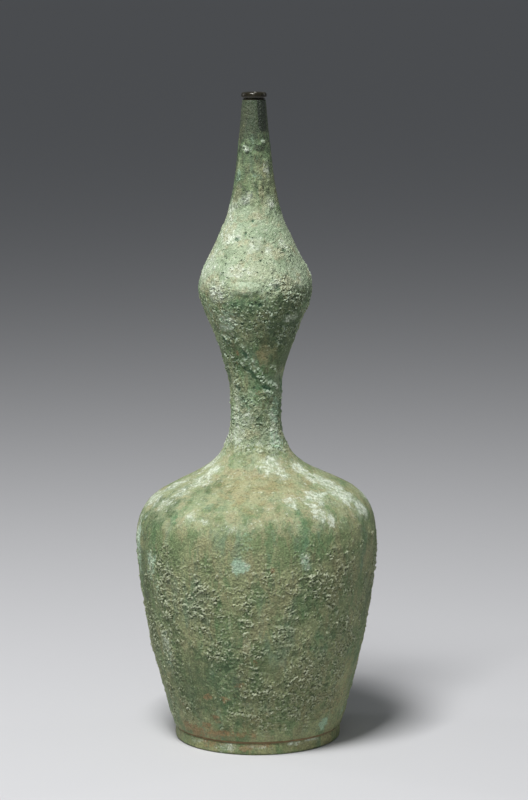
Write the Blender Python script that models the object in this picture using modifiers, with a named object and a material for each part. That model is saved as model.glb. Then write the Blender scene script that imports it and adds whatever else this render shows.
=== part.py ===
"""A cast bronze gourd bottle, built as the turned pieces it is soldered up from.

Metres, +Z up. The origin is on the bottle's axis, in the plane that the foot stands on.
"""

import math

import bpy
from mathutils import Vector

MM = 0.001

# Heights of the joints above the standing plane
BOTTLE_HEIGHT = 370.0 * MM
FOOT_BAND_HEIGHT = 7.0 * MM
WAIST_SEAM_HEIGHT = 200.0 * MM
NECK_SHOULDER_HEIGHT = 365.6 * MM

# The outside of the lower gourd, foot edge to waist seam: radius, height
LOWER_OUTLINE = (
    (48.3, 8.1),
    (57.2, 40.0),
    (65.1, 80.0),
    (68.3, 111.0),
    (68.0, 124.0),
    (65.0, 134.0),
    (58.3, 141.8),
    (45.5, 149.0),
    (31.6, 156.0),
    (21.6, 164.0),
    (16.0, 175.0),
    (14.3, 188.0),
    (14.7, 199.45),
)
# The outside of the upper gourd, waist seam to the shoulder under the mouth rim: radius, height
UPPER_OUTLINE = (
    (14.8, 200.55),
    (15.9, 210.0),
    (19.3, 222.0),
    (26.4, 241.5),
    (31.0, 252.5),
    (32.4, 260.0),
    (30.8, 268.0),
    (23.2, 284.0),
    (16.6, 298.0),
    (12.6, 313.0),
    (9.6, 335.0),
    (6.6, 365.6),
)
LOWER_WALL = 2.2 * MM
UPPER_WALL = 2.0 * MM

# Every soldered joint: a solder layer with the gap that parts it from the bronze on each side
JOINT_GAP = 0.3 * MM
SOLDER_LAYER = 0.5 * MM
JOINT_ROOM = SOLDER_LAYER + 2 * JOINT_GAP

# The upper gourd's spigot, which drops into the lower gourd's neck
WAIST_SPIGOT_LENGTH = 10.0 * MM
WAIST_SPIGOT_WALL = 1.3 * MM
WAIST_SEAM_RECESS = 0.7 * MM

# The foot ring: a band below the groove, a spigot inside the belly and a ledge for the base plate
FOOT_RADIUS = 47.5 * MM
FOOT_EDGE_ROUND = 0.7 * MM
FOOT_LAND_WIDTH = 3.6 * MM
FOOT_SPIGOT_WALL = 1.8 * MM
FOOT_SPIGOT_TOP = 13.0 * MM
FOOT_GROOVE_DEPTH = 1.1 * MM
LEDGE_WIDTH = 3.2 * MM
LEDGE_BOTTOM = 1.6 * MM
LEDGE_TOP = 3.5 * MM

# The base plate, domed a little so that it stays clear of the ground
PLATE_THICKNESS = 2.0 * MM
PLATE_RISE = 1.6 * MM
PLATE_RINGS = 3
FILLET_LEG = 1.5 * MM

# The mouth rim, a half-round lip that caps the end of the neck
RIM_RADIUS = 7.25 * MM
RIM_TOP_LAND = 1.3 * MM
RIM_BORE_BEVEL = 0.35 * MM
RIM_ARC_POINTS = 4
NECK_SPIGOT_WALL = 1.0 * MM
NECK_SPIGOT_LENGTH = 2.3 * MM

SEGMENTS = 40
POINTS_PER_SPAN = 2
SHARP_ANGLE = math.radians(35)

# Colour, roughness and metallic value of each surface
PATINA_GREEN = ((0.165, 0.205, 0.120, 1.0), 0.75, 0.15)
PATINA_PALE = ((0.230, 0.280, 0.185, 1.0), 0.72, 0.15)
FOOT_BROWN = ((0.150, 0.165, 0.090, 1.0), 0.70, 0.20)
RIM_DARK = ((0.020, 0.021, 0.017, 1.0), 0.30, 0.80)
SOLDER_GREY = ((0.180, 0.175, 0.165, 1.0), 0.60, 0.70)


def clear_scene():
    for scene_object in list(bpy.data.objects):
        bpy.data.objects.remove(scene_object)


def surface(name, look):
    colour, roughness, metallic = look
    material = bpy.data.materials.new(name)
    material.use_nodes = True
    shader = material.node_tree.nodes["Principled BSDF"]
    shader.inputs["Base Color"].default_value = colour
    shader.inputs["Roughness"].default_value = roughness
    shader.inputs["Metallic"].default_value = metallic
    return material


def smooth_curve(stations):
    """Points on a cubic curve through the stations, which are (radius, height) in millimetres."""
    knots = [Vector((radius, height)) * MM for radius, height in stations]
    last = len(knots) - 1
    slopes = []
    for i in range(last + 1):
        before = knots[max(i - 1, 0)]
        after = knots[min(i + 1, last)]
        slopes.append((after - before).normalized())
    points = []
    for i in range(last):
        start, end = knots[i], knots[i + 1]
        reach = (end - start).length
        for step in range(POINTS_PER_SPAN):
            t = step / POINTS_PER_SPAN
            along_start = (t**3 - 2 * t**2 + t) * reach * slopes[i]
            along_end = (t**3 - t**2) * reach * slopes[i + 1]
            between = (2 * t**3 - 3 * t**2 + 1) * start + (3 * t**2 - 2 * t**3) * end
            points.append(between + along_start + along_end)
    points.append(knots[last])
    return points


def inner_wall(outside, thickness):
    """The outline moved in towards the axis by the wall's thickness, square to the surface."""
    last = len(outside) - 1
    wall = []
    for i, point in enumerate(outside):
        along = outside[min(i + 1, last)] - outside[max(i - 1, 0)]
        inward = Vector((-along.y, along.x)).normalized()
        wall.append(point + inward * thickness)
    wall[0].y = outside[0].y
    wall[last].y = outside[last].y
    return wall


def turned_piece(name, section, material, closed=True):
    """A ring or a disc turned about the axis from its half section, which runs down the outside first."""
    mesh = bpy.data.meshes.new(name)
    count = len(section)
    edges = [(i, i + 1) for i in range(count - 1)]
    if closed:
        edges.append((count - 1, 0))
    mesh.from_pydata([(radius, 0.0, height) for radius, height in section], edges, [])
    piece = bpy.data.objects.new(name, mesh)
    bottle.objects.link(piece)

    turn = piece.modifiers.new("turn", "SCREW")
    turn.axis = "Z"
    turn.angle = math.tau
    turn.screw_offset = 0.0
    turn.steps = SEGMENTS
    turn.render_steps = SEGMENTS
    turn.use_merge_vertices = True
    turn.merge_threshold = 0.00001
    turned = piece.evaluated_get(bpy.context.evaluated_depsgraph_get())
    piece.data = bpy.data.meshes.new_from_object(turned)
    piece.modifiers.clear()
    piece.data.name = name
    piece.data.shade_smooth()
    piece.data.set_sharp_from_angle(angle=SHARP_ANGLE)
    piece.data.materials.append(material)
    piece.parent = axis
    return piece


def make_lower_gourd():
    """Belly, shoulder and lower neck in one casting, open at the foot and at the waist."""
    outside = smooth_curve(LOWER_OUTLINE)
    inside = inner_wall(outside, LOWER_WALL)
    section = outside[::-1] + inside
    turned_piece("lower_gourd", section, surface("belly_patina", PATINA_GREEN))
    return inside


def make_upper_gourd(neck_of_belly):
    """Bulb and long neck in one casting, with a spigot below for the waist and one above for the rim."""
    outside = smooth_curve(UPPER_OUTLINE)
    inside = inner_wall(outside, UPPER_WALL)
    spigot_bottom = WAIST_SEAM_HEIGHT - WAIST_SPIGOT_LENGTH
    spigot_radius = min(point.x for point in neck_of_belly) - JOINT_ROOM
    spigot_bore = spigot_radius - WAIST_SPIGOT_WALL
    bore = inside[-1].x
    tip_radius = bore + NECK_SPIGOT_WALL
    tip_top = NECK_SHOULDER_HEIGHT + NECK_SPIGOT_LENGTH
    neck_tip = [(tip_radius, tip_top), (tip_radius, NECK_SHOULDER_HEIGHT)]
    waist_spigot = [
        (spigot_radius, outside[0].y),
        (spigot_radius, spigot_bottom),
        (spigot_bore, spigot_bottom),
        (spigot_bore, outside[0].y),
    ]
    bore_top = [(bore, tip_top)]
    section = neck_tip + outside[::-1] + waist_spigot + inside[1:] + bore_top
    turned_piece("upper_gourd", section, surface("bulb_patina", PATINA_PALE))
    return spigot_radius, spigot_bottom, bore, tip_radius


def make_waist_solder(spigot_radius, spigot_bottom):
    """A sleeve of solder round the spigot, with a flange that fills the seam between the castings."""
    inner = spigot_radius + JOINT_GAP
    outer = inner + SOLDER_LAYER
    flange_top = WAIST_SEAM_HEIGHT + SOLDER_LAYER / 2
    flange_bottom = WAIST_SEAM_HEIGHT - SOLDER_LAYER / 2
    flange_radius = LOWER_OUTLINE[-1][0] * MM - WAIST_SEAM_RECESS
    section = [
        (flange_radius, flange_top),
        (flange_radius, flange_bottom),
        (outer, flange_bottom),
        (outer, spigot_bottom),
        (inner, spigot_bottom),
        (inner, flange_top),
    ]
    turned_piece("waist_solder", section, surface("waist_solder", SOLDER_GREY))


def make_foot_ring(belly_bore):
    """The turned band that the bottle stands on, with its spigot and the ledge inside."""
    spigot_radius = belly_bore - JOINT_ROOM
    bore = spigot_radius - FOOT_SPIGOT_WALL
    land_inner = FOOT_RADIUS - FOOT_EDGE_ROUND - FOOT_LAND_WIDTH
    ledge_radius = bore - LEDGE_WIDTH
    section = [
        (spigot_radius, FOOT_SPIGOT_TOP),
        (spigot_radius, FOOT_BAND_HEIGHT),
        (FOOT_RADIUS - FOOT_EDGE_ROUND / 2, FOOT_BAND_HEIGHT),
        (FOOT_RADIUS, FOOT_BAND_HEIGHT - FOOT_EDGE_ROUND),
        (FOOT_RADIUS, FOOT_EDGE_ROUND),
        (FOOT_RADIUS - FOOT_EDGE_ROUND, 0.0),
        (land_inner, 0.0),
        (land_inner - LEDGE_BOTTOM / 2, LEDGE_BOTTOM),
        (ledge_radius, LEDGE_BOTTOM),
        (ledge_radius, LEDGE_TOP),
        (bore, LEDGE_TOP),
        (bore, FOOT_SPIGOT_TOP),
    ]
    turned_piece("foot_ring", section, surface("foot_patina", FOOT_BROWN))
    return spigot_radius, bore


def make_foot_solder(spigot_radius):
    """A sleeve of solder round the foot's spigot, with a flange at the bottom of the groove."""
    inner = spigot_radius + JOINT_GAP
    outer = inner + SOLDER_LAYER
    flange_bottom = FOOT_BAND_HEIGHT + JOINT_GAP
    flange_top = flange_bottom + SOLDER_LAYER
    flange_radius = FOOT_RADIUS - FOOT_GROOVE_DEPTH
    sleeve_top = FOOT_SPIGOT_TOP - JOINT_GAP
    section = [
        (outer, sleeve_top),
        (outer, flange_top),
        (flange_radius, flange_top),
        (flange_radius, flange_bottom),
        (inner, flange_bottom),
        (inner, sleeve_top),
    ]
    turned_piece("foot_solder", section, surface("foot_solder", SOLDER_GREY))


def make_base_plate(foot_bore):
    """A shallow domed disc that closes the bottle from below and rests on the foot's ledge."""
    radius = foot_bore - JOINT_GAP
    bottom = LEDGE_TOP + JOINT_GAP
    domed_radius = radius - LEDGE_WIDTH
    rings = [domed_radius * i / PLATE_RINGS for i in range(PLATE_RINGS + 1)]
    rise = [PLATE_RISE * (1 - (ring / domed_radius) ** 2) for ring in rings]
    upper = [(ring, bottom + PLATE_THICKNESS + h) for ring, h in zip(rings, rise)]
    lower = [(ring, bottom + h) for ring, h in zip(rings, rise)]
    edge = [(radius, bottom + PLATE_THICKNESS), (radius, bottom)]
    section = upper + edge + lower[::-1]
    turned_piece("base_plate", section, surface("base_patina", FOOT_BROWN), closed=False)
    return bottom + PLATE_THICKNESS


def make_base_solder(foot_bore, plate_top):
    """A fillet of solder run round the edge of the base plate from the inside."""
    radius = foot_bore - JOINT_GAP
    bottom = plate_top + JOINT_GAP
    section = [
        (radius, bottom + FILLET_LEG),
        (radius, bottom),
        (radius - FILLET_LEG, bottom),
    ]
    turned_piece("base_solder", section, surface("base_solder", SOLDER_GREY))


def make_mouth_rim(bore, tip_radius):
    """The dark half-round lip, rebated below to cap the spigot at the end of the neck."""
    bottom = NECK_SHOULDER_HEIGHT + SOLDER_LAYER + JOINT_GAP + JOINT_GAP / 2
    rebate_radius = tip_radius + JOINT_GAP
    rebate_top = NECK_SHOULDER_HEIGHT + NECK_SPIGOT_LENGTH + JOINT_GAP
    land_radius = bore + RIM_BORE_BEVEL + RIM_TOP_LAND
    belly_height = (BOTTLE_HEIGHT + bottom) / 2
    half_height = (BOTTLE_HEIGHT - bottom) / 2
    bulge = RIM_RADIUS - land_radius
    turns = [math.pi * i / RIM_ARC_POINTS for i in range(RIM_ARC_POINTS + 1)]
    lip = [
        (land_radius + bulge * math.sin(turn), belly_height + half_height * math.cos(turn))
        for turn in turns
    ]
    inside = [
        (rebate_radius, bottom),
        (rebate_radius, rebate_top),
        (bore, rebate_top),
        (bore, BOTTLE_HEIGHT - RIM_BORE_BEVEL),
        (bore + RIM_BORE_BEVEL, BOTTLE_HEIGHT),
    ]
    turned_piece("mouth_rim", lip + inside, surface("rim_bronze", RIM_DARK))
    return bottom, land_radius


def make_rim_solder(tip_radius, rim_bottom, outer):
    """A flat washer of solder between the neck's shoulder and the underside of the rim."""
    inner = tip_radius + JOINT_GAP
    bottom = NECK_SHOULDER_HEIGHT + JOINT_GAP
    top = rim_bottom - JOINT_GAP
    section = [(outer, top), (outer, bottom), (inner, bottom), (inner, top)]
    turned_piece("rim_solder", section, surface("rim_solder", SOLDER_GREY))


clear_scene()
bottle = bpy.data.collections.new("gourd_bottle")
bpy.context.scene.collection.children.link(bottle)
axis = bpy.data.objects.new("bottle_axis", None)
bottle.objects.link(axis)

belly_inside = make_lower_gourd()
waist_neck = [point for point in belly_inside if point.y > WAIST_SEAM_HEIGHT - 2 * WAIST_SPIGOT_LENGTH]
waist_radius, waist_bottom, neck_bore, neck_tip_radius = make_upper_gourd(waist_neck)
make_waist_solder(waist_radius, waist_bottom)
foot_spigot_radius, foot_bore_radius = make_foot_ring(belly_inside[0].x)
make_foot_solder(foot_spigot_radius)
plate_top_height = make_base_plate(foot_bore_radius)
make_base_solder(foot_bore_radius, plate_top_height)
rim_underside, rim_land_radius = make_mouth_rim(neck_bore, neck_tip_radius)
make_rim_solder(neck_tip_radius, rim_underside, rim_land_radius)
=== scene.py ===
import math
import random

import bmesh
import bpy
import numpy as np
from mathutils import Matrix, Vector, noise


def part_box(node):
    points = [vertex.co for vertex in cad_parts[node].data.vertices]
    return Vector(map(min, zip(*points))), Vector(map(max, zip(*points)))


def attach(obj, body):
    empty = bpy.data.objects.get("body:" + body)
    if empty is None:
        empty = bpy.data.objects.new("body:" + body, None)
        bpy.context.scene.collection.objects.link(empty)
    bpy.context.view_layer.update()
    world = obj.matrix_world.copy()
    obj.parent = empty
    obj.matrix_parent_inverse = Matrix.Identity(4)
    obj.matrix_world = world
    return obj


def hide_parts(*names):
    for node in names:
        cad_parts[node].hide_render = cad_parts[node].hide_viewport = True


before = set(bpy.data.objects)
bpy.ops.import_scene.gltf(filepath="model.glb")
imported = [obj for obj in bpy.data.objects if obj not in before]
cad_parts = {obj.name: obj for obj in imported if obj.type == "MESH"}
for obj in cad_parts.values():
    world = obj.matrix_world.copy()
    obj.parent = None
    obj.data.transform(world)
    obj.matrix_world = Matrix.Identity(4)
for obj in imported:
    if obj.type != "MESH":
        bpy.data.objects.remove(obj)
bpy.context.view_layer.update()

# Lower gourd: belly, shoulder and lower neck, one hollow bronze casting about 2 mm thick.
# Its foot end is soldered over the foot ring, and its neck takes the upper gourd's spigot.
# Burial has left it a smooth pale green skin on the shoulder and the lower neck.
MM = 0.001
SKIN_MESH = 0.8 * MM
SKIN_TURNS = 420
ROWS_UNDER_CRUST = 5
SKIN_UNDER_CRUST = 0.6 * MM
WAIST_SEAM = 200.0 * MM
WAIST_RADIUS = 14.75 * MM
CRUST_TOP = 134.0 * MM
CRUST_FOOT = 9.2 * MM
CRUST_HEIGHT = 1.75 * MM
CRUST_FLAKE = 3.1 * MM
CRUST_CRUMB = 1.5 * MM
FOLD_SIZE = 3.2 * MM
FINE_FLAKE = 1.4 * MM
GRAIN_HEIGHT = 0.14 * MM
FLAKE_SEED = 4
MINT_FROM = 158.0 * MM
MINT_FULL = 186.0 * MM

# Places on the front: degrees round from the front, height, half width and half height in mm, strength
BELLY_ROUGH = (
    (-50, 98, 13, 26, 1.0),
    (-50, 66, 10, 18, 0.85),
    (-27, 88, 11, 20, 1.0),
    (-23, 66, 8, 12, 0.9),
    (-6, 88, 8, 22, 0.7),
    (-4, 58, 9, 17, 0.75),
    (36, 104, 21, 22, 1.0),
    (38, 78, 12, 12, 0.65),
    (16, 78, 9, 20, 0.75),
    (31, 42, 17, 22, 1.0),
    (2, 30, 18, 14, 0.9),
    (50, 58, 10, 24, 1.0),
)
BELLY_CRESTS = (
    ((-53, 117), (-49, 119), (-45, 118)),
    ((-52, 113.5), (-49, 110.5), (-45, 114)),
    ((-44, 106), (-41, 104), (-37, 101), (-33, 98)),
    ((-38, 109), (-34, 111)),
    ((-19, 100), (-18, 96), (-19, 91), (-20, 88), (-14, 88.5)),
    ((-11.5, 94), (-11, 98.5), (-8, 100), (-4, 97.5)),
    ((-8, 75.5), (-4, 76.7), (-1, 78.5)),
    ((3, 96), (5.5, 99), (9, 97.5), (13, 94.5)),
    ((3, 77), (5, 79), (7.5, 77)),
    ((20, 98), (23, 95), (25, 96.5)),
    ((35, 113), (41, 113), (48, 109)),
    ((37, 105.5), (45, 101.5), (52, 94.5)),
    ((-15.5, 70), (-13.7, 65.5), (-12, 68.7)),
    ((-1, 21), (3, 23.3), (8, 20.6)),
    ((-20, 41), (-16.5, 39), (-13, 40)),
    ((-10, 34.5), (-5, 37)),
)
BELLY_CHALK = (
    (-58, 158, 6, 3, 0.75),
    (-56, 153, 8, 3, 0.65),
    (-60, 147, 7, 3, 0.65),
    (-62, 141, 6, 4, 0.6),
    (-84, 140, 12, 5, 0.75),
    (22, 163, 6, 3, 0.75),
    (14, 160, 5, 3, 0.65),
    (30, 158, 4, 3, 0.65),
    (60, 157, 5, 4, 0.8),
    (66, 150, 7, 4, 0.85),
    (62, 144, 8, 4, 0.9),
    (68, 137, 6, 5, 0.9),
    (39, 146, 6, 3, 0.8),
    (34, 140, 4, 5, 0.85),
    (40, 135, 3, 4, 0.75),
    (21, 145, 4, 3, 0.7),
    (-36, 138, 4, 3, 0.75),
    (-28, 136, 4, 2, 0.45),
    (-12, 133, 5, 2.5, 0.55),
    (-61, 108, 5, 7, 0.5),
    # The patch below is partly pale crust and partly a painted highlight along the left edge
    (-80, 118, 6, 12, 0.8),
    (-9, 113, 5, 4, 0.7),
    (23, 115, 3, 6, 0.5),
    (-55, 62, 4, 9, 0.6),
)
BELLY_VERDIGRIS = (
    (-5, 125, 4, 9, 0.6),
    (-9, 113, 4.0, 4.5, 1.3),
    (49, 15, 3.5, 4, 1.2),
    (70, 18, 3, 5, 0.7),
    (-60, 107, 6, 9, 0.8),
    # The patch below is partly pale verdigris and partly a painted highlight along the left edge
    (-79, 114, 8, 16, 0.8),
    (-57, 96, 5, 9, 0.6),
    (-55, 62, 5, 13, 0.55),
    (24, 114, 5, 6, 0.7),
    (58, 146, 11, 11, 0.5),
)
BELLY_MALACHITE = (
    (-44, 136, 5, 3, 1.0),
    (22, 129, 4, 15, 0.8),
    (-42, 144, 16, 8, 0.6),
    (-62, 136, 12, 9, 0.7),
    (-16, 60, 14, 16, 0.6),
    (-24, 40, 14, 14, 0.7),
    (36, 67, 8, 10, 0.6),
)
BELLY_RUST = (
    (8, 111, 2, 2, 0.8),
    (-34, 16, 4, 3, 0.9),
    (-26, 21, 3, 3, 0.8),
    (-31, 34, 3, 2, 0.8),
    (-19, 34, 3, 2, 0.8),
    (-10, 43, 3, 2, 0.7),
    (-1, 57, 2, 3, 0.7),
    (-52, 27, 3, 3, 0.7),
    (-8, 12, 8, 1.6, 0.8),
    (-46, 12, 11, 4, 1.0),
    (-28, 11, 10, 3, 1.0),
    (44, 96, 2, 2, 0.6),
)
BELLY_EARTH = (
    (0, 152, 34, 8, 0.8),
    (5, 140, 30, 6, 0.55),
    (60, 40, 10, 26, 0.5),
    (46, 30, 14, 13, 0.6),
    (-2, 20, 22, 10, 0.45),
)
# Darker patches, partly darker green patina and partly painted shade that darkens the lower belly and the
# sides towards their edges
BELLY_DARK_PATINA_AND_SHADE = (
    (-40, 40, 22, 24, 0.75),
    (45, 75, 18, 22, 0.4),
    (30, 28, 24, 14, 0.5),
    (-48, 72, 10, 12, 0.5),
    (-38, 108, 8, 8, 0.4),
    (-30, 128, 10, 6, 0.4),
    (44, 124, 10, 6, 0.2),
    (-62, 138, 14, 10, 0.85),
    (-38, 150, 16, 8, 0.45),
    (-20, 169, 6, 5, 0.6),
    (26, 170, 6, 5, 0.6),
    (0, 46, 26, 18, 0.6),
    (-70, 84, 9, 34, 0.8),
)
BELLY_VEIL = (
    (-5, 67, 2.4, 6, 1.0),
    (-13.4, 80, 0.8, 5, 1.0),
)


def outline_of(node):
    """Radius and height of a casting's outside, read from its solid, bottom to top."""
    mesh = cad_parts[node].data
    widest = {}
    for face in mesh.polygons:
        outward = Vector((face.center.x, face.center.y, 0)).normalized()
        if face.normal.dot(outward) < 0.05:
            continue
        for corner in face.vertices:
            x, y, z = mesh.vertices[corner].co
            level = round(z, 5)
            widest[level] = max(widest.get(level, 0), math.hypot(x, y))
    return np.array([(radius, level) for level, radius in sorted(widest.items())])


def resampled(points, step):
    """Evenly spaced points on the smooth curve through the points of an outline."""
    along = np.concatenate([[0], np.cumsum(np.hypot(*np.diff(points, axis=0).T))])
    slopes = np.gradient(points, along, axis=0)
    wanted = np.linspace(0, along[-1], round(along[-1] / step) + 1)
    span = np.clip(np.searchsorted(along, wanted, side="right") - 1, 0, len(along) - 2)
    reach = (along[span + 1] - along[span])[:, None]
    t = (wanted - along[span])[:, None] / reach
    start, end = points[span], points[span + 1]
    smooth = start + (3 * t**2 - 2 * t**3) * (end - start)
    return smooth + reach * ((t**3 - 2 * t**2 + t) * slopes[span] + (t**3 - t**2) * slopes[span + 1])


def rest_of_section(node, outside):
    """The other points of a casting's half section, from the top of its outside round to the bottom."""
    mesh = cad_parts[node].data
    beside = {}
    for edge in mesh.edges:
        start, end = (mesh.vertices[i].co for i in edge.vertices)
        if min(start.x, end.x) > 0 and max(abs(start.y), abs(end.y)) < 0.001 * MM:
            pair = [(round(co.x, 5), round(co.z, 5)) for co in (start, end)]
            beside.setdefault(pair[0], set()).add(pair[1])
            beside.setdefault(pair[1], set()).add(pair[0])
    kept = {(round(radius, 5), round(level, 5)) for radius, level in outside}
    here = (round(outside[-1][0], 5), round(outside[-1][1], 5))
    walk = []
    while True:
        onward = [spot for spot in beside[here] if spot not in kept and spot not in walk]
        if not onward:
            return np.array(walk)
        here = onward[0]
        walk.append(here)


def turned(section, steps, start=0.0, sweep=math.tau):
    """A grid wrapped round the axis along a closed half section, with closed ends if it stops short."""
    bm = bmesh.new()
    bmesh.ops.create_grid(bm, x_segments=steps, y_segments=len(section), size=0.5)
    for vert in bm.verts:
        turn = start + sweep * (vert.co.x + 0.5)
        radius, level = section[round((vert.co.y + 0.5) * len(section)) % len(section)]
        vert.co = (radius * math.cos(turn), radius * math.sin(turn), level)
    bmesh.ops.remove_doubles(bm, verts=bm.verts, dist=0.01 * MM)
    ends = bmesh.ops.holes_fill(bm, edges=[edge for edge in bm.edges if edge.is_boundary], sides=0)
    bmesh.ops.triangulate(bm, faces=ends["faces"])
    bmesh.ops.recalc_face_normals(bm, faces=bm.faces)
    return bm


def outer_points(bm):
    """The vertices of the outside of a hollow piece, with their places and normals as arrays."""
    bm.normal_update()
    kept = [v for v in bm.verts if v.normal.x * v.co.x + v.normal.y * v.co.y > 0]
    return kept, np.array([v.co for v in kept]), np.array([v.normal for v in kept])


def places(points):
    """Turn from the front in radians, height and radius of each point."""
    x, y, z = points.T
    return np.arctan2(x, -y), z, np.hypot(x, y)


def ramp(values, low, high):
    """0 below the low value, 1 above the high one, and an even slope between."""
    return np.clip((values - low) / (high - low), 0, 1)


def wander(points, size, octaves=4):
    """Smooth noise between about -1 and 1, with lumps of the given size."""
    return np.array([noise.fractal(Vector(p), 1.0, 2.0, octaves) for p in points / size])


# Fixes the offsets that noise_vector adds, so that every run grows the same flakes
noise.seed_set(FLAKE_SEED)


def flakes(points, size):
    """Flaky corrosion: broken chips, each lifted along one edge, 0 in the creases to 1 on the crests."""
    heights = []
    for p in points / size * (1, 1, 1.3):
        spot = Vector(p)
        spot += 0.5 * noise.noise_vector(spot * 0.8) + 0.3 * noise.noise_vector(spot * 2.3)
        ridge = noise.ridged_multi_fractal(spot, 0.8, 2.3, 4, 1.0, 2.0)
        near, middles = noise.voronoi(spot)
        lifted = 1.4 * noise.noise_vector(middles[0] * 3.1) + Vector((0, 0, 0.15))
        chip = max(0, 0.25 + 0.8 * noise.noise(middles[0] * 5.7) + lifted.dot(spot - middles[0]))
        heights.append(0.2 * max(0, ridge - 0.9) + 0.65 * chip * min(1, 14 * (near[1] - near[0])))
    return np.clip(np.array(heights), 0, 1)


def folds(points, size):
    """Thin crumpled ridges on a flat ground, 0 between them to 1 on the highest."""
    found = [noise.ridged_multi_fractal(Vector(p), 0.8, 2.2, 4, 1.0, 2.0) for p in points / size]
    return np.clip(np.array(found) - 0.8, 0, 1)


def lines(paths, points, half_width):
    """How near each point is to some line drawn on the surface: 1 on it, 0 clear of it.

    A line runs through places given in degrees round from the front and in mm of height.
    """
    turn, height, radius = places(points)
    nearest = np.full(len(points), 2.0)
    for path in paths:
        for (at, level), (next_at, next_level) in zip(path, path[1:]):
            aside = (turn - math.radians(at) + math.pi) % math.tau - math.pi
            across, up = aside * radius, height - level * MM
            run, climb = math.radians(next_at - at) * radius, (next_level - level) * MM
            share = np.clip((across * run + up * climb) / (run**2 + climb**2), 0, 1)
            away = np.hypot(across - share * run, up - share * climb) / (half_width * MM)
            nearest = np.minimum(nearest, away)
    return np.clip(1 - nearest, 0, 1)


def painted(patches, points, ragged):
    """How strongly a list of patches covers each point, with edges that wander by the ragged noise."""
    turn, height, radius = places(points)
    cover = np.zeros(len(points))
    for at, level, half_width, half_height, strength in patches:
        aside = (turn - math.radians(at) + math.pi) % math.tau - math.pi
        away = np.hypot(aside * radius / (half_width * MM), (height - level * MM) / (half_height * MM))
        spot = strength * np.clip(1.6 - away * (1 + 0.55 * ragged), 0, 1)
        cover = np.where(np.abs(spot) > np.abs(cover), spot, cover)
    return cover


def scattered(seed, count, levels, widths, heights, strength):
    """Patches strewn over the sides and back, where the front's own list doesn't reach."""
    draw = random.Random(seed)
    return tuple(
        (draw.uniform(80, 280), draw.uniform(*levels), draw.uniform(*widths), draw.uniform(*heights),
         strength * draw.uniform(0.6, 1))
        for _ in range(count)
    )


def moved(bm, verts, normals, lift):
    """Pushes each vertex along its normal, and marks how the surface there lies.

    "tilt" is how far it has tipped upwards, "proud" how far it stands over its neighbours, in mm.
    """
    for vert, normal, rise in zip(verts, normals, lift):
        vert.co += Vector(normal) * rise
    bm.normal_update()
    bm.verts.index_update()
    order = [vert.index for vert in verts]
    ends = np.array([[vert.index for vert in edge.verts] for edge in bm.edges])
    here, there = np.vstack([ends, ends[:, ::-1]]).T
    level = np.zeros(len(bm.verts))
    level[order] = lift
    around = level
    for _ in range(2):
        around = np.bincount(here, around[there]) / np.bincount(here)
    proud = (level - around)[order] / MM
    tilt = np.array([vert.normal.z for vert in verts]) - normals[:, 2]
    return {"tilt": tilt, "proud": proud}


def finished(name, bm, material, verts, marks, smooth=True):
    """The bmesh as an object that rides with the bottle.

    Each mark is a value per outside vertex for one kind of growth or stain.
    """
    bm.verts.index_update()
    order = [vert.index for vert in verts]
    mesh = bpy.data.meshes.new(name)
    bm.to_mesh(mesh)
    bm.free()
    for label, values in marks.items():
        everywhere = np.zeros(len(mesh.vertices), np.float32)
        everywhere[order] = values
        mesh.attributes.new(label, "FLOAT", "POINT").data.foreach_set("value", everywhere)
    if smooth:
        mesh.shade_smooth()
    mesh.materials.append(material)
    piece = bpy.data.objects.new(name, mesh)
    bpy.context.scene.collection.objects.link(piece)
    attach(piece, "root")
    return piece


def feed(tree, socket, value):
    """Links a node's input to another node's socket, or sets it to a number or a colour."""
    if isinstance(value, bpy.types.NodeSocket):
        tree.links.new(value, socket)
    else:
        socket.default_value = value


def add(tree, kind, settings=None, **inputs):
    """A node with its settings and its inputs."""
    made = tree.nodes.new("ShaderNode" + kind)
    for key, value in (settings or {}).items():
        setattr(made, key, value)
    for key, value in inputs.items():
        feed(tree, made.inputs[key.replace("_", " ")], value)
    return made


def maths(tree, operation, a, b):
    """One sum of two sockets or numbers."""
    made = tree.nodes.new("ShaderNodeMath")
    made.operation = operation
    for socket, value in zip(made.inputs, (a, b)):
        feed(tree, socket, value)
    return made.outputs[0]


def linear(red, green, blue):
    """A screen colour, 0 to 255, as the linear colour that a shader takes."""
    return tuple(((c / 255 + 0.055) / 1.055) ** 2.4 for c in (red, green, blue)) + (1.0,)


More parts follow.
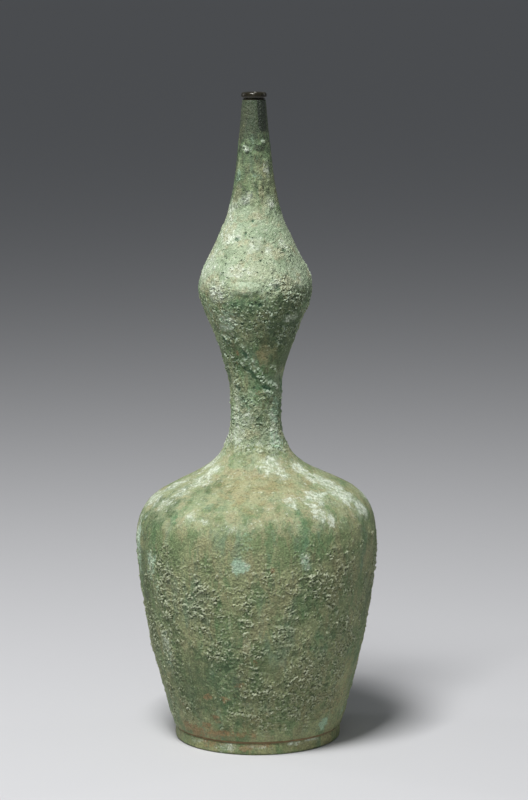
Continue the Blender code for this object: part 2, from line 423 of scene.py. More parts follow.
def patina(name, skin, deep):
    """Corroded bronze: a green skin with growths and stains where the piece's marks put them."""
    material = bpy.data.materials.new(name)
    material.use_nodes = True
    tree = material.node_tree
    shader = tree.nodes["Principled BSDF"]
    here = add(tree, "TexCoord").outputs["Object"]
    runs = add(tree, "Mapping", Vector=here, Scale=(1, 1, 0.3)).outputs["Vector"]

    def speckle(size, detail=5, rough=0.65, spots=here):
        return add(
            tree, "TexNoise", Vector=spots, Scale=1 / (size * MM), Detail=detail, Roughness=rough
        ).outputs["Fac"]

    def mark(label):
        return add(tree, "Attribute", {"attribute_name": label}).outputs["Fac"]

    def edge(value, low, high):
        return add(
            tree, "MapRange", {"interpolation_type": "SMOOTHSTEP"}, Value=value, From_Min=low, From_Max=high
        ).outputs["Result"]

    def tone(value, low, high, dark, light):
        return add(
            tree, "MapRange", Value=value, From_Min=low, From_Max=high, To_Min=dark, To_Max=light
        ).outputs["Result"]

    def times(a, b):
        return maths(tree, "MULTIPLY", a, b)

    def broken(label, size, least, most, swing):
        """A painted mark whose edge and inside are broken up by specks of the given size."""
        specks = times(maths(tree, "ADD", speckle(size, 8, 0.78), -0.5), swing)
        return edge(maths(tree, "ADD", mark(label), specks), least, most)

    def over(below, colour, amount, share=1.0):
        amount = times(amount, share)
        return add(tree, "MixRGB", Fac=amount, Color1=below, Color2=colour).outputs["Color"]

    # The green skin, mottled in runs down the sides, with earth and darker patches in it; the darker patches
    # are partly darker patina and partly painted shade
    minty = mark("mint")
    colour = over(deep, skin, edge(speckle(26, 4), 0.4, 0.6))
    colour = over(colour, linear(156, 150, 112), edge(speckle(7, 6, 0.7, runs), 0.49, 0.58), 0.5)
    colour = over(colour, linear(94, 132, 86), edge(speckle(9, 6, 0.7, runs), 0.51, 0.6), 0.55)
    colour = over(colour, linear(122, 146, 120), edge(speckle(11, 6, 0.7, runs), 0.52, 0.63), 0.5)
    colour = over(colour, linear(176, 152, 110), broken("earth", 7, 0.35, 0.75, 1.8), 0.42)
    colour = over(colour, linear(84, 138, 98), broken("malachite", 6, 0.35, 0.85, 1.8), 0.45)
    colour = over(colour, linear(82, 100, 64), broken("dark_patina_and_shade", 6, 0.3, 0.85, 1.8), 0.75)

    # The pale film on what faces up
    filmed = broken("film", 7, 0.35, 0.95, 2.6)
    film = over(linear(190, 198, 158), linear(190, 207, 174), minty)
    colour = over(colour, film, filmed, tone(minty, 0, 1, 0.42, 0.68))
    colour = over(colour, linear(180, 166, 130), times(filmed, edge(speckle(10, 6, 0.65), 0.5, 0.6)), 0.45)
    colour = over(colour, linear(116, 140, 104), times(filmed, edge(speckle(8, 6, 0.65), 0.52, 0.62)), 0.5)
    colour = over(colour, linear(220, 227, 202), times(filmed, edge(speckle(2.4, 4, 0.7), 0.58, 0.66)), 0.65)

    # Specks, then the flakes of the crust, pale along their crests and dark in their creases, with painted
    # light on faces that tip up and painted shade on faces that tip down
    rough = mark("rough")
    crust = mark("crust")
    tilt = mark("tilt")
    proud = mark("proud")
    crest_and_top_light = over(linear(204, 211, 184), linear(204, 222, 200), minty)
    crease_and_underside_shade = over(linear(50, 64, 40), linear(44, 68, 52), minty)
    brown = times(edge(rough, 0.3, 0.8), edge(speckle(3.2), 0.6, 0.7))
    colour = over(colour, linear(122, 94, 60), brown, 0.4)
    colour = over(colour, linear(84, 94, 62), edge(speckle(1.5, 3), 0.6, 0.67), 0.5)
    colour = over(colour, linear(208, 210, 172), edge(speckle(1.8, 3), 0.64, 0.7), 0.35)
    colour = over(colour, linear(148, 153, 114), times(rough, edge(crust, 0.05, 0.3)), 0.5)
    colour = over(colour, crease_and_underside_shade, times(edge(rough, 0.15, 0.6), edge(crust, 0.1, 0.0)), 0.45)
    # Painted shade on faces the crust tips downwards, painted light on faces it tips upwards
    colour = over(colour, crease_and_underside_shade, edge(tilt, -0.1, -0.6), 0.5)
    colour = over(colour, crest_and_top_light, edge(tilt, 0.12, 0.6), 0.5)
    colour = over(colour, crease_and_underside_shade, edge(proud, -0.03, -0.24), 0.85)
    crested = times(edge(proud, 0.03, 0.22), tone(speckle(4), 0.35, 0.65, 0.55, 1.0))
    colour = over(colour, crest_and_top_light, crested, 0.78)

    # Growths and stains on top, then pinholes, bare metal and the hollows, whose dark green is partly oxide
    # and partly painted shade
    colour = over(colour, linear(158, 124, 86), broken("rust", 2.4, 0.45, 1.1, 3.6), 0.7)
    colour = over(colour, linear(206, 218, 194), broken("chalk", 8, 0.15, 0.9, 2.2), 0.3)
    colour = over(colour, linear(222, 231, 212), broken("chalk", 2.8, 0.45, 1.1, 4.2), 0.92)
    colour = over(colour, linear(166, 198, 168), broken("verdigris", 2.6, 0.5, 1.1, 3.0), 0.75)
    holes = times(edge(speckle(1.7, 2), 0.62, 0.7), edge(speckle(9, 3), 0.47, 0.58))
    holes = times(holes, tone(minty, 0, 1, 0.3, 1.0))
    colour = over(colour, linear(46, 72, 52), holes, 0.8)
    bare = mark("bare")
    colour = over(colour, linear(46, 56, 42), broken("bare", 4, 0.3, 0.75, 1.4), 0.82)
    colour = over(colour, linear(36, 44, 34), edge(bare, 1.0, 1.2), 0.9)
    # Dark green hollows and pits, partly oxide and partly painted shade
    colour = over(colour, linear(50, 92, 66), broken("hollow", 1.6, 0.35, 0.9, 1.6), 0.7)

    # Fine grain over everything
    fine = speckle(1.1, 4, 0.62)
    grainy = tone(fine, 0.3, 0.7, tone(filmed, 0, 1, 0.64, 0.76), tone(filmed, 0, 1, 1.33, 1.22))
    colour = add(tree, "MixRGB", {"blend_type": "MULTIPLY"}, Fac=1.0, Color1=colour, Color2=grainy)
    tree.links.new(colour.outputs["Color"], shader.inputs["Base Color"])

    relief = maths(tree, "ADD", times(fine, 0.6), times(holes, -0.8))
    relief = maths(tree, "ADD", relief, times(speckle(2.6, 5), maths(tree, "ADD", rough, 0.3)))
    bump = add(tree, "Bump", Height=relief, Strength=1.0, Distance=1.2 * MM)
    tree.links.new(bump.outputs["Normal"], shader.inputs["Normal"])
    gloss = maths(tree, "ADD", tone(speckle(8), 0.3, 0.7, 0.5, 0.75), times(bare, -0.2))
    tree.links.new(gloss, shader.inputs["Roughness"])
    shader.inputs["Specular IOR Level"].default_value = 0.4
    return material


def belly_dents(points):
    """The casting's slow dents and its uneven shoulder, dying out at both ends."""
    turn, height, _ = places(points)
    lopsided = np.sin(turn) * np.exp(-(((height - 146 * MM) / (12 * MM)) ** 2))
    dents = 0.45 * wander(points, 45 * MM, 2) + 0.1 * wander(points, 9 * MM) + 0.9 * lopsided
    ends = np.minimum(ramp(height, 8.1 * MM, 16 * MM), ramp(-height, -WAIST_SEAM, -192 * MM))
    return MM * dents * ends


def belly_growth(points, normals):
    """Height of the crust on the lower gourd, with its growths and stains.

    The crust stands in bands down the belly, with little on the shoulder.
    """
    height = points[:, 2]
    bands = BELLY_ROUGH + scattered(3, 26, (22, 112), (9, 18), (14, 26), 1.0)
    drift = wander(points, 9 * MM)
    ragged = wander(points, 6 * MM)
    streaks = wander(points * (1, 1, 0.32), 10 * MM)
    cover = np.maximum(painted(bands, points, drift), 0.44 + 0.5 * streaks)
    low_edge = ramp(height, 9 * MM, 15 * MM)
    high_edge = ramp(20 * MM * drift - height, -129 * MM, -112 * MM)
    rough = ramp(cover, 0.05, 1.1) * low_edge * high_edge
    clusters = ramp(wander(points * (1, 1, 0.7), 8 * MM), -0.4, 0.25)
    flake = np.clip(flakes(points, CRUST_FLAKE) + 0.12 * flakes(points, CRUST_CRUMB), 0, 1)
    crumpled = folds(points * (1, 1, 1.2), FOLD_SIZE) * ramp(wander(points, 7 * MM), -0.2, 0.3)
    crust = rough * ((0.45 + 0.55 * clusters) * flake + 0.6 * crumpled)
    crests = lines(BELLY_CRESTS, points + 0.5 * MM * ragged[:, None], 1.2)
    crust = np.maximum(crust, 0.5 * crests * (0.2 + flake))
    film_of_grit = 0.22 * flakes(points, FINE_FLAKE) * ramp(ragged, -0.5, 0.4)
    grit_zone = (1 - rough) * (0.35 + 0.65 * ramp(-height, -130 * MM, -118 * MM))
    crust = np.maximum(crust, film_of_grit * grit_zone)
    facing_up = np.clip(normals[:, 2], 0, 1)
    marks = {
        "crust": crust,
        "rough": np.maximum(rough, 0.25),
        "mint": ramp(height, MINT_FROM, MINT_FULL),
        "film": np.maximum(
            np.clip(1.8 * facing_up, 0, 1) * np.clip(0.75 + 0.5 * ragged, 0, 1),
            painted(BELLY_VEIL, points, 0.3 * ragged),
        ),
    }
    stains = {
        "chalk": BELLY_CHALK + scattered(5, 22, (128, 165), (4, 10), (3, 6), 0.9),
        "verdigris": BELLY_VERDIGRIS + scattered(7, 12, (14, 150), (3, 7), (4, 16), 0.9),
        "malachite": BELLY_MALACHITE + scattered(8, 10, (20, 140), (5, 14), (5, 15), 0.8),
        "rust": BELLY_RUST + scattered(9, 12, (12, 115), (2, 4), (2, 3), 0.7),
        "earth": BELLY_EARTH + scattered(10, 12, (14, 152), (10, 30), (6, 24), 0.6),
        "dark_patina_and_shade": BELLY_DARK_PATINA_AND_SHADE + scattered(12, 12, (20, 110), (10, 24), (8, 24), 0.7),
    }
    marks |= {label: painted(patches, points, ragged) for label, patches in stains.items()}
    return CRUST_HEIGHT * crust + GRAIN_HEIGHT * wander(points, 1.4 * MM, 3), marks


lower_outline = outline_of("lower_gourd")
lower_inside = rest_of_section("lower_gourd", lower_outline)
rows = resampled(lower_outline, SKIN_MESH)
shown = (rows[:, 1] > CRUST_TOP - 10 * MM) | (np.arange(len(rows)) % ROWS_UNDER_CRUST == 0)
bm = turned(np.vstack([rows[shown], [(WAIST_RADIUS, WAIST_SEAM)], lower_inside]), SKIN_TURNS)
verts, points, normals = outer_points(bm)
rise, marks = belly_growth(points, normals)

# Where the crust covers it, the skin is lowered out of sight
under = np.minimum(ramp(points[:, 2], 12 * MM, 15 * MM), ramp(-points[:, 2], -128 * MM, -125 * MM))
under = np.maximum(under, ramp(points[:, 2], 171 * MM, 177 * MM))
at_seam = ramp(-points[:, 2], -WAIST_SEAM, -195 * MM)
lift = belly_dents(points) + rise * at_seam * (1 - under) - SKIN_UNDER_CRUST * under
marks |= moved(bm, verts, normals, lift)
marks["proud"] *= ramp(points[:, 2], CRUST_TOP - 8 * MM, CRUST_TOP)
belly_patina = patina("belly_patina", skin=linear(152, 160, 116), deep=linear(120, 138, 94))
lower_gourd = finished("lower_gourd_skin", bm, belly_patina, verts, marks)
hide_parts("lower_gourd")

# Belly crust: the flaky corrosion that has grown over the belly, in bands and runs.
# It is one layer up to about 2 mm thick, made as three lengths round the belly that lap at their ends.
CRUST_MESH = 0.46 * MM
CRUST_DEPTH = 1.8 * MM
CRUST_SWEEP = math.radians(126)
CRUST_LAP = math.radians(2.5)
CRUST_BED = 0.3 * MM
CRUST_BED_FROM = 5.0 * MM
CRUST_BED_FULL = 22.0 * MM
CRUST_SUNK = 0.9 * MM
CRUST_TOP_FADE = 4.0 * MM
BELLY_CRUST_FADE = 2.0 * MM
BELLY_CRUST_STEPS = 300
ROWS_PER_BACK_ROW = 12
CRUST_SIDES = (("front", 0), ("right", 120), ("left", -120))


def crust_layer(name, rows, facing, steps, dents, growth, material, low_fade):
    """One length of crust over some rows of a casting, with edges that sink into the casting."""
    middle = math.radians(facing)
    along = np.gradient(rows, axis=0)
    outward = np.stack([along[:, 1], -along[:, 0]], axis=1) / np.hypot(*along.T)[:, None]
    back_rows = (rows - CRUST_DEPTH * outward)[::-ROWS_PER_BACK_ROW]
    bm = turned(np.vstack([rows, back_rows]), steps, middle - math.pi / 2 - CRUST_SWEEP / 2, CRUST_SWEEP)
    verts, points, normals = outer_points(bm)
    turn, height, _ = places(points)
    rise, marks = growth(points, normals)
    to_end = CRUST_SWEEP / 2 - np.abs((turn - middle + math.pi) % math.tau - math.pi)
    kept = ramp(to_end, 0.1 * CRUST_LAP, CRUST_LAP)
    kept = np.minimum(kept, ramp(height, rows[0, 1], rows[0, 1] + low_fade))
    kept = np.minimum(kept, ramp(-height, -rows[-1, 1], -rows[-1, 1] + CRUST_TOP_FADE))
    to_edge = np.minimum(height - rows[0, 1], rows[-1, 1] - height)
    bed = CRUST_BED * ramp(to_edge, CRUST_BED_FROM, CRUST_BED_FULL)
    lift = kept * (rise - bed) - (1 - kept) * CRUST_SUNK
    marks |= moved(bm, verts, normals, dents(points) + lift)
    return finished(name, bm, material, verts, marks, smooth=False)


rows = resampled(lower_outline, CRUST_MESH)
rows = rows[(rows[:, 1] > CRUST_FOOT) & (rows[:, 1] < CRUST_TOP)]
for side, facing in CRUST_SIDES:
    layer = crust_layer(
        "belly_crust_" + side, rows, facing, BELLY_CRUST_STEPS,
        belly_dents, belly_growth, belly_patina, BELLY_CRUST_FADE,
    )

# Upper gourd: bulb and long tapered neck, the second bronze casting, also about 2 mm thick.
# Its spigot drops into the lower gourd's neck, and its own neck tapers to the soldered mouth rim.
# The neck is dark and nearly bare, with a straight-edged dark strip below the mouth.
UPPER_MESH = 0.55 * MM
UPPER_TURNS = 270
NECK_FOOT = 306.0 * MM
NECK_TOP = 365.6 * MM
BULB_FLAKE = 2.2 * MM
BULB_CRUST = 2.0 * MM

BULB_ROUGH = (
    (-41, 260, 7, 7, 1.0),
    (23, 264, 7, 6, 1.0),
    (40, 255, 12, 9, 0.9),
    (12, 247, 9, 7, 0.9),
    (-34, 244, 10, 8, 1.0),
    (-8, 241, 8, 5, 0.8),
    (40, 236, 8, 10, 0.7),
    (-50, 222, 6, 16, 0.9),
    (-44, 203, 5, 7, 1.0),
    (-58, 186, 4, 9, 0.9),
    (50, 190, 4, 12, 1.0),
    (44, 174, 5, 7, 1.0),
    (46, 282, 5, 6, 0.8),
    (-27, 338.5, 3, 2.5, 1.0),
    (42, 327, 2.5, 7, 1.0),
    (-54, 324, 2, 5, 0.9),
    (-25, 310, 4, 3, 1.0),
    (40, 309, 2.5, 4, 0.9),
)
BULB_CHALK = (
    (-38, 291, 5, 6, 0.9),
    (-3, 286, 3, 4, 0.8),
    (4, 287, 3, 4, 0.8),
    (19, 282, 3, 3, 0.8),
    (45, 286, 3, 3, 0.8),
    (-18, 272, 10, 4, 0.8),
    (-70, 272, 6, 8, 0.9),
    (-66, 279, 6, 5, 0.8),
    (-41, 260, 7, 6, 0.95),
    (52, 268, 6, 7, 0.5),
    (22, 266, 5, 3, 0.8),
    (46, 245, 6, 2, 0.8),
    (-34, 243, 8, 5, 0.8),
    (-25, 310, 4, 3, 0.9),
    (40, 309, 2.5, 3, 1.0),
    (42, 327, 2, 6, 0.9),
    (-27, 338.5, 2.5, 2, 0.9),
    (-60, 300, 5, 10, 0.8),
    (-50, 188, 3, 14, 0.8),
    (-40, 176, 4, 7, 0.9),
    (-25, 186, 4, 5, 0.8),
    (46, 178, 4, 12, 0.9),
    (4, 171, 12, 3, 0.7),
)
BULB_VERDIGRIS = (
    (50, 191, 4, 9, 0.9),
    (44, 174, 5, 7, 0.8),
    (-60, 250, 6, 8, 0.6),
    (-20, 196, 6, 5, 0.6),
    (-34, 245, 8, 7, 0.7),
    (-54, 324, 2, 5, 0.8),
    (8, 325, 4, 6, 0.6),
    (-12, 342, 3, 5, 0.6),
)
BULB_MALACHITE = (
    (-10, 253, 9, 5, 0.7),
    (4, 203, 6, 4, 0.7),
    (14, 264, 8, 4, 0.7),
    (38, 280, 6, 10, 0.6),
    (16, 182, 6, 9, 0.6),
    (-24, 252, 8, 4, 0.6),
)
BULB_RUST = (
    (-32, 225, 2, 6, 0.6),
    (10, 202, 3, 2, 0.6),
)
BULB_EARTH = (
    (6, 271, 12, 8, 0.8),
    (10, 283, 8, 7, 0.7),
    (-10, 268, 14, 6, 0.5),
    (-58, 262, 8, 6, 0.7),
    (22, 225, 8, 8, 0.7),
    (-5, 350, 4, 3, 0.5),
)
# Darker patches, partly darker green patina round the lower neck and partly painted shade on the right and
# underside of the bulb
BULB_DARK_PATINA_AND_SHADE = (
    (45, 240, 14, 14, 1.0),
    (31, 252, 6, 5, 0.8),
    (-8, 250, 7, 6, 0.55),
    (0, 229, 16, 8, 0.5),
    (-32, 222, 5, 8, 0.7),
    (58, 225, 10, 12, 1.0),
    (12, 184, 8, 10, 0.8),
    (-30, 188, 3, 9, 0.8),
    (36, 180, 5, 9, 0.7),
    (0, 173, 16, 4, 0.5),
    (54, 275, 11, 12, 1.0),
    (58, 262, 11, 9, 1.0),
)
NECK_BARE = (
    (0, 362, 12, 6, 0.75),
    (-60, 350, 4, 16, 0.7),
    # The patch below is a painted shadow under the neck nodule
    (20, 339, 4, 2, 0.9),
)
NECK_STRIP = (
    ((40, 351), (40, 370)),
)
NECK_NODULES = (
    (33.6, 342.4, 1.3, 1.1, 0.8),
    (-38, 340, 1.0, 0.9, 0.6),
    (-26, 338, 1.3, 1.0, 0.7),
)
WAIST_RIDGES = (
    ((-22, 218.5), (-14, 220.5), (-8, 219.5), (2, 214), (8, 211), (15, 208.5), (24, 206), (34, 206)),
    ((34, 206), (50, 204.5)),
    ((24, 202.5), (32, 200.5), (44, 203)),
    ((120, 226), (140, 220), (162, 214), (175, 208)),
    ((215, 212), (235, 217), (250, 214)),
)
WAIST_STREAKS = (
    ((24, 214), (30, 216.5), (40, 216), (44, 213.5)),
    ((-21, 229), (-17, 227.5), (-13, 224.5), (-11, 223)),
    ((-52, 235.5), (-44, 233.8), (-38, 232)),
    ((39, 239), (38, 236), (37, 232), (34, 229)),
    ((-48, 206), (-42, 208), (-38, 205)),
)
# Hollows under the waist ridges; their dark green is partly oxide and partly painted shadow under the ridges
WAIST_HOLLOWS = (
    ((-19, 215.5), (-9, 214), (-1, 210.5)),
    ((17, 205.5), (30, 203.8)),
    ((-50, 233), (-40, 230.5)),
    ((-20, 225.5), (-15, 222.8)),
    ((-46, 204.5), (-40, 203.5)),
    ((130, 219), (160, 211)),
)
# Pits, dark green partly as oxide and partly as painted shade
BULB_PITS = (
    (-3.6, 298.8, 0.8, 0.8, 1.0),
    (-29, 288.8, 1.2, 1.1, 1.0),
    (-15, 292, 0.6, 0.6, 1.0),
    (16, 287, 0.8, 0.8, 0.9),
    (43, 282.6, 1.4, 1.0, 0.9),
    (24, 262.5, 1.3, 0.9, 0.9),
    (5.7, 253.3, 1.1, 0.7, 1.0),
    (-36, 243.6, 1.2, 0.9, 0.9),
    (-16, 242.5, 1.6, 0.9, 1.0),
)
BULB_BLISTER = (
    (-9.5, 262.2, 6.5, 2.8, 1.0),
)


def bulb_dents(points):
    """The slow dents of the bulb and the neck, dying out at both ends."""
    height = points[:, 2]
    dents = 0.3 * wander(points, 30 * MM, 2) + 0.08 * wander(points, 6 * MM)
    dents *= 1 - 0.6 * ramp(height, 312 * MM, 336 * MM)
    ends = np.minimum(ramp(height, WAIST_SEAM, 208 * MM), ramp(-height, -NECK_TOP, -360 * MM))
    return MM * dents * ends


def bulb_growth(points, normals):
    """Height of the crust on the waist, bulb and neck, with its growths and stains."""
    height = points[:, 2]
    on_neck = ramp(height, 304 * MM, 330 * MM)
    low_half = np.minimum(ramp(-height, -264 * MM, -252 * MM), ramp(height, 224 * MM, 234 * MM))
    low_neck = np.minimum(ramp(-height, -206 * MM, -196 * MM), ramp(height, 163 * MM, 170 * MM))
    ragged = wander(points, 5 * MM)
    wavering = points + 0.5 * MM * ragged[:, None]
    rough = painted(BULB_ROUGH + scattered(13, 18, (168, 290), (5, 10), (5, 10), 1.0), points, ragged)
    rough = np.maximum(rough, 0.1 + 0.45 * low_half + 0.5 * low_neck + 0.4 * wander(points, 8 * MM))
    rough = np.clip(rough, 0, 1) * (1 - 0.6 * on_neck)
    flake = flakes(points, BULB_FLAKE)
    crust = rough * (0.35 + 0.65 * ramp(wander(points, 5 * MM), -0.4, 0.3)) * flake
    crumbs = (0.6 + 0.4 * wander(points, 2.4 * MM, 2)) * (0.3 + 1.1 * flakes(points, 3.4 * MM))
    ridges = np.clip(1.6 * lines(WAIST_RIDGES, wavering, 2.9), 0, 1) * crumbs
    ridges = np.maximum(ridges, 0.8 * lines(WAIST_STREAKS, wavering, 1.8) * crumbs)
    nodules = painted(NECK_NODULES, points, ragged)
    # Dents, coloured dark green, partly oxide and partly painted shade
    hollows = np.maximum(
        np.clip(1.5 * lines(WAIST_HOLLOWS, wavering, 1.9), 0, 1),
        painted(BULB_PITS + scattered(43, 16, (236, 300), (0.8, 1.5), (0.7, 1.2), 1.0), points, ragged),
    )
    blister = painted(BULB_BLISTER, points, 0.2 * ragged)
    rise = BULB_CRUST * crust + GRAIN_HEIGHT * wander(points, 1.6 * MM, 3)
    rise += MM * (2.7 * ridges + 1.2 * nodules - 0.45 * hollows + 1.1 * blister)
    veil = np.maximum(1.3 * normals[:, 2] + 0.58, 0.3 * ramp(-height, -212 * MM, -196 * MM))
    veil = np.clip(veil + 0.15 * ragged, 0, 1) * (1 - ramp(height, 298 * MM, 332 * MM))
    strip = ramp(lines(NECK_STRIP, points, 3.2), 0.0, 0.12)
    stripped = 0.48 * ramp(height, 278 * MM, 314 * MM) + 0.45 * ramp(height, 340 * MM, 356 * MM)
    marks = {
        "crust": np.maximum(crust, 0.55 * np.maximum(ridges, nodules)),
        "rough": np.maximum(rough, 0.3),
        "mint": ramp(height, MINT_FROM, MINT_FULL),
        "hollow": hollows,
        "bare": np.maximum(
            painted(NECK_BARE + scattered(19, 5, (320, 362), (3, 5), (8, 18), 1.0), points, ragged),
            np.maximum(stripped, 1.4 * strip),
        ),
        "film": np.maximum(veil, 0.9 * blister),
        "chalk": np.maximum(
            0.72 * painted(BULB_CHALK + scattered(23, 16, (166, 310), (4, 10), (4, 9), 1.0), points, ragged),
            np.maximum(ridges, 0.25 * blister),
        ),
    }
    stains = {
        "verdigris": BULB_VERDIGRIS + scattered(29, 6, (170, 270), (3, 7), (4, 9), 0.8),
        "malachite": BULB_MALACHITE + scattered(31, 6, (180, 285), (6, 14), (5, 9), 0.7),
        "rust": BULB_RUST + scattered(37, 6, (205, 335), (2, 4), (2, 4), 0.6),
        "earth": BULB_EARTH + scattered(41, 6, (210, 330), (7, 15), (6, 14), 0.6),
        "dark_patina_and_shade": BULB_DARK_PATINA_AND_SHADE + scattered(47, 6, (210, 255), (7, 15), (6, 14), 0.7),
    }
    marks |= {label: painted(patches, points, ragged) for label, patches in stains.items()}
    return rise, marks


upper_outline = outline_of("upper_gourd")
rim_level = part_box("rim_solder")[0].z
upper_outline = upper_outline[(upper_outline[:, 1] > WAIST_SEAM) & (upper_outline[:, 1] < rim_level)]
upper_inside = rest_of_section("upper_gourd", upper_outline)
rows = resampled(upper_outline, UPPER_MESH)
shown = (rows[:, 1] > NECK_FOOT - 10 * MM) | (np.arange(len(rows)) % ROWS_UNDER_CRUST == 0)
bm = turned(np.vstack([[(WAIST_RADIUS, WAIST_SEAM)], rows[shown], upper_inside]), UPPER_TURNS)
verts, points, normals = outer_points(bm)
rise, marks = bulb_growth(points, normals)
under = ramp(-points[:, 2], -302 * MM, -299 * MM)
at_rim = ramp(-points[:, 2], -NECK_TOP, -363 * MM)
lift = bulb_dents(points) + rise * at_rim * (1 - under) - SKIN_UNDER_CRUST * under
marks |= moved(bm, verts, normals, lift)
marks["proud"] *= ramp(points[:, 2], NECK_FOOT - 8 * MM, NECK_FOOT)
bulb_patina = patina("bulb_patina", skin=linear(154, 166, 124), deep=linear(118, 142, 102))
upper_gourd = finished("upper_gourd_skin", bm, bulb_patina, verts, marks)
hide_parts("upper_gourd")

# Bulb crust: the pale, pitted corrosion on the bulb and the waist, which has grown across the waist seam.
# A lumpy ridge of it runs down across the front of the waist, with dark green hollows below, partly oxide
# and partly painted shadow under the ridge.
CRUST_ON_NECK = 159.0 * MM
BULB_CRUST_FADE = 9.0 * MM
BULB_CRUST_STEPS = 150


def waist_dents(points):
    """The dents of whichever casting lies below the crust."""
    return np.where(points[:, 2] < WAIST_SEAM, belly_dents(points), bulb_dents(points))


both_outlines = np.vstack([lower_outline, [(WAIST_RADIUS, WAIST_SEAM)], upper_outline])
rows = resampled(both_outlines, CRUST_MESH)
rows = rows[(rows[:, 1] > CRUST_ON_NECK) & (rows[:, 1] < NECK_FOOT)]
for side, facing in CRUST_SIDES:
    layer = crust_layer(
        "bulb_crust_" + side, rows, facing, BULB_CRUST_STEPS,
        waist_dents, bulb_growth, bulb_patina, BULB_CRUST_FADE,
    )

# Foot ring: the turned bronze band that the bottle stands on, with a spigot up inside the belly.
# It is the same cast bronze, worn smooth and yellow-green, with rust and earth left along its edges.
FOOT_MESH = 0.5 * MM
FOOT_TURNS = 400
FOOT_RUST = (
    (-8, 4, 5, 2, 0.9),
    (2, 5.5, 7, 1.6, 0.8),
    (-36, 4, 4, 2, 0.8),
    (-28, 5.5, 5, 1.5, 0.8),
    (28, 4, 3, 2, 0.6),
)
FOOT_CHALK = (
    (-20, 4, 7, 2.5, 0.55),
    (-2, 5, 6, 1.6, 0.5),
    (26, 6, 5, 1.2, 0.7),
    (40, 6.2, 5, 1.0, 0.7),
    (-48, 5, 4, 2, 0.5),
)


def worn(node, step, passes):
    """A turned piece's half section with points at even steps, its corners rubbed round by each pass."""
    start = outline_of(node)[-1:]
    loop = np.vstack([start, rest_of_section(node, start), start])
    along = np.concatenate([[0], np.cumsum(np.hypot(*np.diff(loop, axis=0).T))])
    wanted = np.linspace(0, along[-1], round(along[-1] / step) + 1)[:-1]
    even = np.stack([np.interp(wanted, along, loop[:, axis]) for axis in (0, 1)], axis=1)
    for _ in range(passes):
        even = (np.roll(even, 1, axis=0) + 2 * even + np.roll(even, -1, axis=0)) / 4
    return even


bm = turned(worn("foot_ring", FOOT_MESH, 2), FOOT_TURNS)
verts, points, normals = outer_points(bm)
ragged = wander(points, 4 * MM)
flake = flakes(points, FINE_FLAKE) * ramp(ragged, -0.3, 0.5)
wear = 0.3 * flake + 0.12 * wander(points, 1.8 * MM, 3) + 0.15 * wander(points, 12 * MM)
band = np.minimum(ramp(points[:, 2], 0, 1.5 * MM), ramp(-points[:, 2], -7 * MM, -6 * MM))
lie = moved(bm, verts, normals, MM * wear * band)
foot_material = patina("foot_patina", skin=linear(164, 166, 116), deep=linear(132, 146, 98))
foot_ring = finished("foot_ring_band", bm, foot_material, verts, lie | {
    "crust": 0.6 * flake,
    "rough": np.full(len(points), 0.35),
    "rust": painted(FOOT_RUST + scattered(53, 12, (2, 6), (3, 8), (1.5, 2.5), 1.0), points, ragged),
    "chalk": painted(FOOT_CHALK + scattered(59, 10, (3, 6.5), (3, 8), (1.2, 2.5), 0.9), points, ragged),
    # Painted contact shadow along the bottom edge of the foot
    "dark_patina_and_shade": 0.9 * ramp(-points[:, 2], -1.6 * MM, 0),
})
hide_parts("foot_ring")

# Base plate: the shallow domed disc that closes the bottle, resting on the foot ring's ledge.
# It is bronze with the foot's patina, and a fillet of solder round its edge holds it.
def coated(node, material):
    """Gives a CAD mesh that is carried over as it is a material of its own."""
    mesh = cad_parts[node].data
    mesh.materials.clear()
    mesh.materials.append(material)


coated("base_plate", foot_material)

# Solder seams: tin run into the rim, waist, foot and base joints, stained brown where it shows; the rim's
# tin is near-black, partly a dark joint and partly painted shade under the lip.
# The foot's bead shows as the thin dark groove between the belly and the foot ring.
GROOVE_RADIUS = 47.15 * MM
GROOVE_BOTTOM = 6.6 * MM
GROOVE_TOP = 8.3 * MM
BEAD_DEPTH = 1.2 * MM


def speckled_metal(name, dark, light, speck, metallic, roughness):
    """Metal that varies between two colours in specks of the given size."""
    material = bpy.data.materials.new(name)
    material.use_nodes = True
    tree = material.node_tree
    shader = tree.nodes["Principled BSDF"]
    here = add(tree, "TexCoord").outputs["Object"]
    specks = add(tree, "TexNoise", Vector=here, Scale=1 / speck, Detail=5).outputs["Fac"]
    colour = add(tree, "MixRGB", Fac=specks, Color1=dark, Color2=light)
    tree.links.new(colour.outputs["Color"], shader.inputs["Base Color"])
    shader.inputs["Metallic"].default_value = metallic
    shader.inputs["Roughness"].default_value = roughness
    return material


brown_tin = speckled_metal(
    "brown_tin", linear(96, 86, 60), linear(166, 138, 100), 2.5 * MM, metallic=0.2, roughness=0.7
)
# Near-black tin for the rim joint: partly a dark joint, partly painted shade under the lip
black_tin_and_shade = speckled_metal(
    "black_tin_and_shade", linear(34, 32, 24), linear(70, 64, 46), 2.5 * MM, metallic=0.2, roughness=0.7
)
coated("rim_solder", black_tin_and_shade)
for seam in ("waist_solder", "foot_solder", "base_solder"):
    coated(seam, brown_tin)
inner_radius = GROOVE_RADIUS - BEAD_DEPTH
bead_section = [
    (inner_radius, GROOVE_BOTTOM),
    (GROOVE_RADIUS, GROOVE_BOTTOM),
    (GROOVE_RADIUS, GROOVE_TOP),
    (inner_radius, GROOVE_TOP),
]
bm = turned(np.array(bead_section), FOOT_TURNS)
verts, points, normals = outer_points(bm)
moved(bm, verts, normals, 0.25 * MM * wander(points, 6 * MM))
finished("foot_groove_bead", bm, brown_tin, verts, {})

# Mouth rim: the dark half-round bronze lip, rebated below and soldered on the end of the neck.
# It is the one part left without patina, brown-black and polished by handling.
RIM_MESH = 0.2 * MM
RIM_TURNS = 200

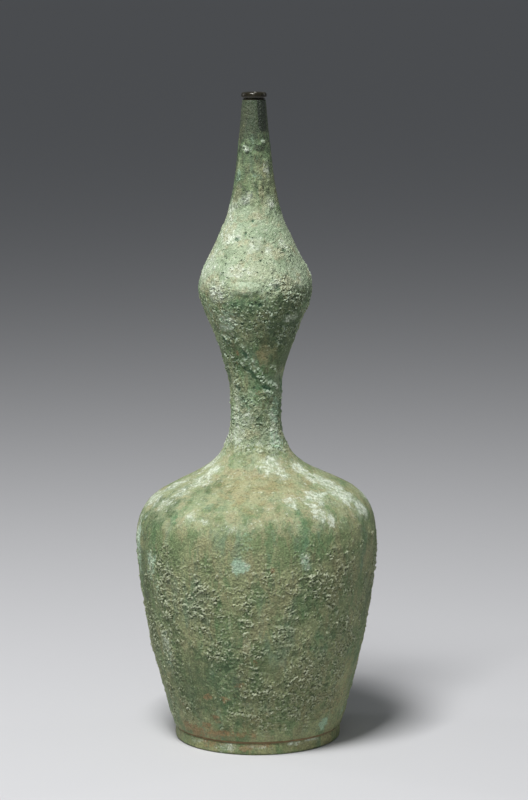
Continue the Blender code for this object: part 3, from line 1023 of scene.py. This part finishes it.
dark_bronze = speckled_metal(
    "rim_bronze", linear(20, 19, 14), linear(58, 54, 40), 2.2 * MM, metallic=0.3, roughness=0.22
)
bm = turned(worn("mouth_rim", RIM_MESH, 3), RIM_TURNS)
verts, points, normals = outer_points(bm)
moved(bm, verts, normals, 0.06 * MM * wander(points, 2.5 * MM))
mouth_rim = finished("mouth_rim_lip", bm, dark_bronze, verts, {})
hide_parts("mouth_rim")

# Photographer's stand: a wide pale paper floor, a soft box overhead, side strips and the camera.
# The main light comes from above, a little to the front and left, with a weak fill beside the camera.
FLOOR_RADIUS = 90.0


def pale_paper():
    """Matt pale grey paper."""
    material = bpy.data.materials.new("pale_paper")
    material.use_nodes = True
    shader = material.node_tree.nodes["Principled BSDF"]
    shader.inputs["Base Color"].default_value = linear(206, 206, 208)
    shader.inputs["Roughness"].default_value = 0.9
    shader.inputs["Specular IOR Level"].default_value = 0.1
    return material


bm = bmesh.new()
bmesh.ops.create_circle(bm, cap_ends=True, segments=96, radius=FLOOR_RADIUS)
floor_mesh = bpy.data.meshes.new("pale_floor")
bm.to_mesh(floor_mesh)
bm.free()
floor_mesh.materials.append(pale_paper())
floor = bpy.data.objects.new("pale_floor", floor_mesh)
bpy.context.scene.collection.objects.link(floor)


def soft_box(name, place, aim, size, power):
    """A square of soft light turned towards a point."""
    lamp = bpy.data.lights.new(name, "AREA")
    lamp.shape = "RECTANGLE"
    lamp.size, lamp.size_y = size
    lamp.energy = power
    box = bpy.data.objects.new(name, lamp)
    box.location = place
    box.rotation_euler = (Vector(aim) - Vector(place)).to_track_quat("-Z", "Y").to_euler()
    bpy.context.scene.collection.objects.link(box)


soft_box("overhead_box", (-0.28, -0.58, 1.52), (0, 0, 0.2), (0.45, 0.45), 28.0)
soft_box("left_strip", (-0.9, 0.3, 0.55), (0, 0, 0.25), (0.08, 0.5), 0.7)
soft_box("right_strip", (0.9, 0.35, 0.55), (0, 0, 0.25), (0.08, 0.5), 0.45)
soft_box("front_fill", (-0.3, -1.7, 0.9), (0, 0, 0.15), (0.9, 0.9), 2.0)

world = bpy.data.worlds.new("studio_air")
world.use_nodes = True
world.node_tree.nodes["Background"].inputs["Color"].default_value = (0.9, 0.95, 1.0, 1.0)
world.node_tree.nodes["Background"].inputs["Strength"].default_value = 0.12
bpy.context.scene.world = world
bpy.context.scene.view_settings.view_transform = "Standard"

CAMERA_PLACE = (0.0060, -1.55, 0.43)
CAMERA_PITCH = 8.607
CAMERA_ROLL = 0.33
CAMERA_LENS = 123.8
camera_data = bpy.data.cameras.new("camera")
camera_data.lens = CAMERA_LENS
camera_data.sensor_width = 36.0
camera = bpy.data.objects.new("camera", camera_data)
camera.location = CAMERA_PLACE
camera.rotation_euler = (math.radians(90 - CAMERA_PITCH), math.radians(CAMERA_ROLL), 0)
bpy.context.scene.collection.objects.link(camera)
bpy.context.scene.camera = camera
